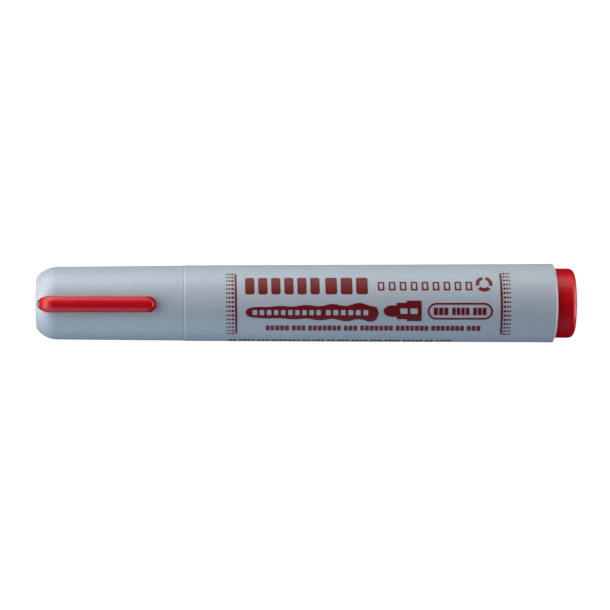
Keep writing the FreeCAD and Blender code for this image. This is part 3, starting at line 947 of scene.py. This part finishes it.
def nib_picture():
    """Picture of a bullet nib in its holder, as one stepped outline with two openings."""
    middle = across(-10.1)
    nib, collar, holder = 1.33, across(12.4), across(15.5)
    bullet_base, bullet_length = 19.4, 2.0
    bullet = arc_points(0, 0, 1, 90, 270, 16)
    outline = [(bullet_base + bullet_length * along, middle + nib * aside) for along, aside in bullet]
    steps = [(20.4, nib), (20.4, collar), (22.7, collar), (22.7, holder), (26.1, holder)]
    outline += [(x, middle - half) for x, half in steps]
    outline += [(x, middle + half) for x, half in reversed(steps)]
    openings = block_row(21.2, 25.2, middle, 1.3, 2, 0.6)
    return [[outline] + [list(reversed(opening[0])) for opening in openings]]


def pill():
    """Outlined pill with three groups of blocks in it, in place of words."""
    x_start, x_end = 27.5, 42.4
    middle = across(-10.4)
    height = across(25.2)
    line = 0.42
    rim = bar(x_start, x_end, middle, height)
    hole = bar(x_start + line, x_end - line, middle, height - 2 * line)
    shapes = [outlined(rim, hole)]
    for x_first, x_last, count in ((28.9, 32.2, 3), (33.1, 37.0, 4), (37.9, 40.9, 3)):
        shapes += block_row(x_first, x_last, middle, 1.75, count, 0.25)
    return shapes


def small_print(chance):
    """Rows of small blocks in place of the sentences, one on top and the rest low on the front side."""
    margin, height, letter = -18.0, 1.1, 0.95
    shapes = words(chance, -9.5, 40.3, across(-38.4), 1.5, 1.1)
    shapes += words(chance, margin, 34.3, across(-73), height, letter)
    for row, x_end in enumerate((30.0, 36.0, 22.0, 33.0)):
        shapes += words(chance, margin, x_end, across(-86 - 11 * row), height, letter)
    return shapes


def build_print(name, shapes, ink):
    """Lays flat shapes on the barrel as a thin layer of ink, closed all round."""
    flat = bmesh.new()
    for loops in shapes:
        spots = [flat.verts.new((x, y, 0)) for loop in loops for x, y in loop]
        for corners in tessellate_polygon([[Vector((x, y, 0)) for x, y in loop] for loop in loops]):
            flat.faces.new([spots[corner] for corner in corners])
    lowest = min(vertex.co.y for vertex in flat.verts)
    highest = max(vertex.co.y for vertex in flat.verts)
    cut = math.ceil(lowest / BEND_STEP) * BEND_STEP
    while cut < highest:
        bmesh.ops.bisect_plane(flat, geom=flat.verts[:] + flat.edges[:] + flat.faces[:],
                               plane_co=(0, cut, 0), plane_no=(0, 1, 0))
        cut += BEND_STEP

    layer = bmesh.new()
    top, under = {}, {}
    for vertex in flat.verts:
        top[vertex] = layer.verts.new(wrapped(vertex.co.x, vertex.co.y, INK_OUT))
        under[vertex] = layer.verts.new(wrapped(vertex.co.x, vertex.co.y, -INK_IN))
    for face in flat.faces:
        layer.faces.new([top[vertex] for vertex in face.verts])
        layer.faces.new([under[vertex] for vertex in reversed(face.verts)])
    for edge in flat.edges:
        if len(edge.link_faces) == 1:
            first, second = edge.verts
            layer.faces.new([top[first], top[second], under[second], under[first]])
    flat.free()
    piece(as_object(name, layer), ink, "print_ink", "barrel")


# ---------------------------------------------------------------- stage, lights and camera

def build_floor():
    """Pale floor just under the marker, bright to the camera only."""
    mesh = bmesh.new()
    bmesh.ops.create_grid(mesh, x_segments=8, y_segments=8, size=1.5)
    bmesh.ops.translate(mesh, verts=mesh.verts, vec=(0, 0, -0.00005))
    floor = as_object("floor", mesh)
    floor.data.materials.append(floor_finish())
    floor.visible_diffuse = False
    floor.visible_glossy = False


def softbox(name, direction, distance, width, height, power, colour):
    """Rectangular light that faces the marker from a direction. Its width runs along the marker,
    or across it when the light is beyond an end."""
    centre = Vector((0, 0, AXIS * MM))
    back = Vector(direction).normalized()
    side = Vector((1, 0, 0)) if abs(back.x) < 0.7 else Vector((0, 1, 0))
    side = (side - back * side.dot(back)).normalized()
    light = bpy.data.lights.new(name, "AREA")
    light.shape = "RECTANGLE"
    light.size = width
    light.size_y = height
    light.energy = power
    light.color = colour
    made = bpy.data.objects.new(name, light)
    bpy.context.collection.objects.link(made)
    rotation = Matrix((side, back.cross(side), back)).transposed().to_4x4()
    made.matrix_world = Matrix.Translation(centre + back * distance) @ rotation
    made.visible_camera = False


def light_scene():
    """Soft studio light: two low keys behind the marker, a cooler fill in front of it and a soft
    box low beyond each end."""
    softbox("key_left", (-0.55, 0.98, 0.21), distance=0.6, width=0.5, height=0.45, power=4.0,
            colour=(1.0, 0.96, 0.95))
    softbox("key_right", (0.55, 0.98, 0.21), distance=0.6, width=0.5, height=0.45, power=1.47,
            colour=(0.93, 1.0, 0.91))
    softbox("fill", (-0.5, -0.95, 0.30), distance=0.6, width=0.7, height=0.6, power=2.5,
            colour=(0.60, 0.81, 1.0))
    softbox("cap_end", (-1.0, 0.0, 0.30), distance=0.5, width=0.6, height=0.4, power=3.4,
            colour=(1.0, 0.86, 0.81))
    softbox("plug_end", (1.0, 0.0, 0.06), distance=0.5, width=0.5, height=0.3, power=3.7,
            colour=(1.0, 0.86, 0.81))


def set_surroundings():
    """White surroundings that only the camera sees."""
    world = bpy.data.worlds.new("studio")
    world.use_nodes = True
    world.node_tree.nodes["Background"].inputs["Color"].default_value = (1, 1, 1, 1)
    world.cycles_visibility.diffuse = False
    world.cycles_visibility.glossy = False
    bpy.context.scene.world = world
    bpy.context.scene.view_settings.view_transform = "Standard"


def place_camera():
    """Camera almost straight above the marker, its right along the marker."""
    camera = bpy.data.objects.new("camera", bpy.data.cameras.new("camera"))
    bpy.context.collection.objects.link(camera)
    camera.data.sensor_width = 36
    camera.data.lens = 171.64
    camera.data.clip_start = 0.05
    camera.data.clip_end = 10
    camera.data.shift_x = -0.0016
    camera.data.shift_y = -0.003
    low, high = size_at_start
    aim = Vector(((low.x + high.x) / 2, 0, AXIS * MM))
    towards_cap, aside, height = 0.0226, 0.0202, 0.671
    eye = Vector((-towards_cap, aside, AXIS * MM + height))
    back = (eye - aim).normalized()
    right = (Vector((1, 0, 0)) - back * back.x).normalized()
    rotation = Matrix((right, back.cross(right), back)).transposed().to_4x4()
    camera.matrix_world = Matrix.Translation(eye) @ rotation
    bpy.context.scene.camera = camera


# ---------------------------------------------------------------- build

grey = shell_plastic()
red = red_plastic()
ink = print_ink()
chance = random.Random(5)

build_cap(grey)
build_inner_cap(liner_plastic())
build_clip(red)
build_barrel(grey)
build_nose(nose_plastic())
build_nib(nib_felt())
build_end_plug(red)
build_print("print_end_marks", end_marks(), ink)
build_print("print_headline", headline(), ink)
build_print("print_spaced_row", spaced_row(), ink)
build_print("print_stroke", stroke_band(), ink)
build_print("print_nib_picture", nib_picture(), ink)
build_print("print_pill", pill(), ink)
build_print("print_small", small_print(chance), ink)

for node, finish in (("reservoir_core", reservoir_fibre()), ("reservoir_film", reservoir_film())):
    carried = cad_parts[node]
    carried.data.materials.clear()
    carried.data.materials.append(finish)

build_floor()
light_scene()
set_surroundings()
place_camera()

bpy.context.view_layer.update()
